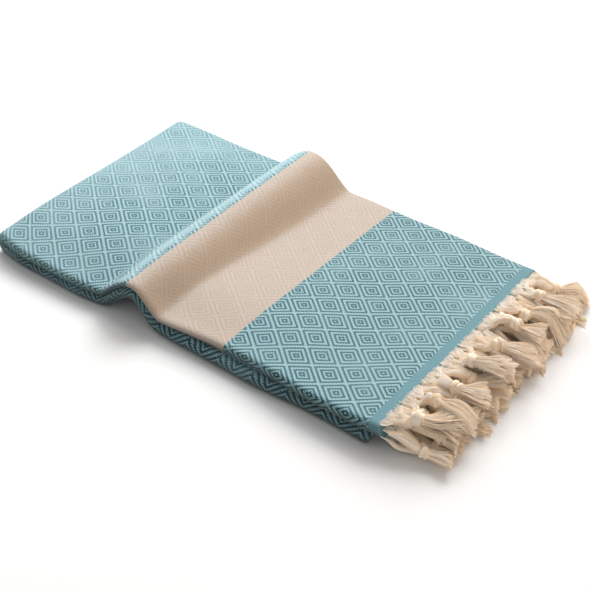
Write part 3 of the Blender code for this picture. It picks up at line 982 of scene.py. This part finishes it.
def knotStrands(tassel, dice):  # a ball, and the bundle wound round it
    path = tassel["path"]
    radius = yarn["layerSizes"][tassel["layer"]] * yarn["knotRadius"]
    count = yarn["windings"][tassel["layer"]]
    start, end = yarn["knotEnds"]
    centre = (path[start] + path[end]) / 2
    forward = path[end] - path[start]
    side = np.append(tassel["sides"][start], 0)
    axis = forward / np.linalg.norm(forward) + side * dice.uniform(-1, 1) * yarn["knotTilt"]
    axis = axis / np.linalg.norm(axis)
    first = np.cross(axis, (0, 0, 1))
    first = first / np.linalg.norm(first)
    second = np.cross(axis, first)

    share = np.linspace(-1, 1, yarn["ballPoints"])
    inner = radius * (yarn["coreSize"] if count else 1)
    ball = inner * np.sqrt(np.maximum(1 - share ** 2, yarn["ballEnd"])) / yarn["bundleRadius"]
    core = (centre + np.outer(share * inner, axis), ball)
    wound = yarn["windingSize"] * radius
    share = np.linspace(-0.5, 0.5, yarn["windingPoints"])
    turned = dice.choice((-1, 1)) * 2 * math.pi * dice.uniform(*yarn["windingTurns"]) * share
    turned = turned + dice.uniform(0, 2 * math.pi)
    outwards = np.outer(np.cos(turned), first) + np.outer(np.sin(turned), second)
    along = yarn["windingLength"] * radius * share
    reach = np.sqrt(radius ** 2 - along ** 2) - wound
    reach = reach * (1 - np.abs(2 * share) ** yarn["windingSink"])
    middleLine = centre + np.outer(along, axis) + reach[:, None] * outwards
    windings = []
    for index in range(count):
        angle = 2 * math.pi * index / count + yarn["windingTwist"] * share
        around = np.outer(np.cos(angle), axis) + np.sin(angle)[:, None] * outwards
        place = middleLine + yarn["windingReach"] * wound * around
        windings.append((place, yarn["windingYarn"] * wound / yarn["tailRadius"]))
    return core, windings


def tailStrands(tassel, dice):  # the loose yarns past the knot
    layer = tassel["layer"]
    path = tassel["path"]
    last = len(path) - 1
    count = yarn["tailYarns"][layer]
    locks = yarn["tailLocks"][layer]
    lock = dice.integers(0, locks, count)
    short = yarn["tipSpread"] * dice.random((locks, 1))[lock] ** yarn["tipPower"]
    tips = last + yarn["tipPast"] - short
    tips = tips + dice.uniform(-yarn["tipJitter"], yarn["tipJitter"], (count, 1))
    spots = yarn["tailStart"] + (tips - yarn["tailStart"]) * np.linspace(0, 1, yarn["tailPoints"])
    loose = np.clip((spots - yarn["looseStart"]) / (last - yarn["looseStart"]), 0, 1)
    beyond = np.maximum(spots - last, 0)[..., None]
    places = atSpots(path, spots) + beyond * (path[-1] - path[-2])
    half = atSpots(tassel["halfSizes"], spots)

    turn = dice.uniform(0, 2 * math.pi, (locks, 1))[lock]
    reach = np.sqrt(dice.random((locks, 1)))[lock]
    rate = dice.uniform(*yarn["curlRates"], (locks, 1))[lock]
    wave = np.sin(spots * rate + dice.uniform(0, 6.3, (locks, 1))[lock])
    own = dice.normal(0, yarn["lockSpread"], (2, count, 1)) * (1 + loose)
    across = np.cos(turn) * reach * half[..., 0] * (1 + (yarn["tailWidths"][layer] - 1) * loose)
    across = across + wave * yarn["tailCurl"] * loose + own[0]
    across = across + dice.uniform(-1, 1) * yarn["tailBend"] * loose ** 2
    places[..., :2] += atSpots(tassel["sides"], spots) * across[..., None]
    upward = np.sin(turn) * reach
    places[..., 2] += upward * half[..., 1] + (upward + 1) * yarn["tailLofts"][layer] * loose
    places[..., 2] += own[1]
    places = softened(places, 1)
    radii = np.linspace(*yarn["tailTaper"], yarn["tailPoints"])
    return [(place, radii * dice.uniform(*yarn["tailSizes"])) for place in places]


def makeFringes(tassels):
    hemProfile = profileCurve("hemProfile", yarn["hemRadius"], yarn["yarnSides"])
    tailProfile = profileCurve("tailProfile", yarn["tailRadius"], yarn["yarnSides"])
    cordProfile = profileCurve("cordProfile", yarn["bundleRadius"], yarn["cordSides"])
    made = []
    for end, word in enumerate(("First", "Second")):
        dice = np.random.default_rng(yarn["seed"] + end)
        hems = []
        cores = []
        twists = []
        lowTails = []
        highTails = []
        for tassel in [tassel for tassel in tassels if tassel["end"] == end]:
            bend = dice.uniform(-1, 1) * yarn["bundleBend"]
            bundles = [(offset, bundlePath(tassel, offset, bend))
                       for offset in (-yarn["bundleApart"], yarn["bundleApart"])]
            hems += hemStrands(tassel, bundles, dice)
            for offset, points in bundles:
                hems += wispStrands(tassel, points, dice)
            twisted = [cordStrands(tassel, points) for offset, points in bundles]
            for core, outer in twisted + [knotStrands(tassel, dice)]:
                cores.append(core)
                twists += outer
            tails = highTails if tassel["layer"] >= yarn["highFrom"] else lowTails
            tails.extend(tailStrands(tassel, dice))
        for name, strands, profile, thickness in (
                ("hemYarns", hems, hemProfile, yarn["hemRadius"]),
                ("cordCores", cores, cordProfile, yarn["bundleRadius"]),
                ("cordTwists", twists, tailProfile, yarn["tailRadius"]),
                ("lowTails", lowTails, tailProfile, yarn["tailRadius"]),
                ("highTails", highTails, tailProfile, yarn["tailRadius"])):
            for points, radii in strands:  # nothing dips into the ground
                least = yarn["groundClear"] * radii * thickness
                points[:, 2] = np.maximum(points[:, 2], least)
            made.append((end, sweptPiece(name + word, strands, profile)))
    for profile in (hemProfile, tailProfile, cordProfile):
        bpy.data.objects.remove(profile)
    return made


def makeCotton(name):
    shader = Shader(name)
    upper, lower, shaded = cream[name]
    place = shader.add("TexCoord", output=3)
    strand = shader.noise(place, cream["strandScale"], 2.0)
    cloud = shader.noise(place, cream["cloudScale"], 2.0)
    single = shader.add("NewGeometry", output=8)  # each yarn has a shade of its own
    height = shader.split(place)[2] / cream["fullHeight"]
    # Painted shade: yarns low in the pile take the warmer lower colour.
    heightShadedColour = shader.mixColours(height, lower, upper)
    mix = cream["strandShade"] * strand + cream["cloudShade"] * cloud
    mix = mix + cream["singleShade"] * single - cream["unshaded"]
    colour = shader.mixColours(mix, heightShadedColour, shaded)
    shader.finish(colour, strand, cream)
    return shader.material


studio = {
    "cameraPlace": (0.70205, -0.49218, 0.60940),  # in stack coordinates
    "cameraTurn": (50.9034, -0.5638, 37.3593),
    "lens": 68.22,
    "sensorWidth": 36,
    "clipStart": 0.01,
    "floorHalfSize": 6,
    "floorColour": (0.85, 0.85, 0.85, 1),
    "worldColour": (1, 1, 1, 1),
    "worldStrength": 0.42,
    "sunFrom": (-0.22, 1.00, 0.74),
    "sunStrength": 2.98,
    "sunAngle": 38,
    "lamps": (  # name, place, colour, power and size of each
        ("key", (-0.42, 0.30, 0.55), (1, 1, 1), 3.3, 0.6),
        ("warm", (0.85, 0.25, 0.32), (1, 0.72, 0.46), 1.3, 0.4),
    ),
}


def makeStudio():
    mesh = bmesh.new()
    bmesh.ops.create_grid(mesh, x_segments=1, y_segments=1, size=studio["floorHalfSize"])
    floor = addPiece("floor", mesh)
    shader = Shader("paper")
    shader.setValue("Base Color", studio["floorColour"])
    shader.setValue("Roughness", 1)
    shader.setValue("Specular IOR Level", 0)
    floor.data.materials.append(shader.material)

    world = bpy.data.worlds.new("studio")
    world.use_nodes = True
    backdrop = world.node_tree.nodes["Background"]
    backdrop.inputs["Color"].default_value = studio["worldColour"]
    backdrop.inputs["Strength"].default_value = studio["worldStrength"]
    bpy.context.scene.world = world

    for name, place, colour, power, size in studio["lamps"]:
        light = bpy.data.lights.new(name, "AREA")
        light.shape = "DISK"
        light.size = size
        light.energy = power
        light.color = colour
        lamp = bpy.data.objects.new(name, light)
        lamp.location = place
        lamp.rotation_euler = (-Vector(place)).to_track_quat("-Z", "Y").to_euler()
        bpy.context.collection.objects.link(lamp)

    sunlight = bpy.data.lights.new("sun", "SUN")
    sunlight.energy = studio["sunStrength"]
    sunlight.angle = math.radians(studio["sunAngle"])
    sun = bpy.data.objects.new("sun", sunlight)
    sun.rotation_euler = (-Vector(studio["sunFrom"])).to_track_quat("-Z", "Y").to_euler()
    bpy.context.collection.objects.link(sun)

    camera = bpy.data.cameras.new("camera")
    camera.lens = studio["lens"]
    camera.sensor_width = studio["sensorWidth"]
    camera.clip_start = studio["clipStart"]
    eye = bpy.data.objects.new("camera", camera)
    eye.location = Vector(studio["cameraPlace"]) + Vector(shift)
    eye.rotation_euler = Euler([math.radians(angle) for angle in studio["cameraTurn"]])
    bpy.context.collection.objects.link(eye)
    bpy.context.scene.camera = eye
    bpy.context.scene.view_settings.view_transform = "Standard"
    return floor


clothPiece = makeCloth()
clothPiece.data.materials.append(makeWeave())
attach(clothPiece, "root")
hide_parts("cloth")

yarnsMaterial = makeCotton("yarns")
hemMaterial = makeCotton("hemYarns")
fringePieces = makeFringes(layTassels())
for end, piece in fringePieces:
    isHem = piece.name.startswith("hemYarns")
    piece.data.materials.append(hemMaterial if isHem else yarnsMaterial)
    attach(piece, "root")
    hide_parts(("fringe_first_end", "fringe_second_end")[end])
    print(piece.name, len(piece.data.polygons), "faces")

floor = makeStudio()
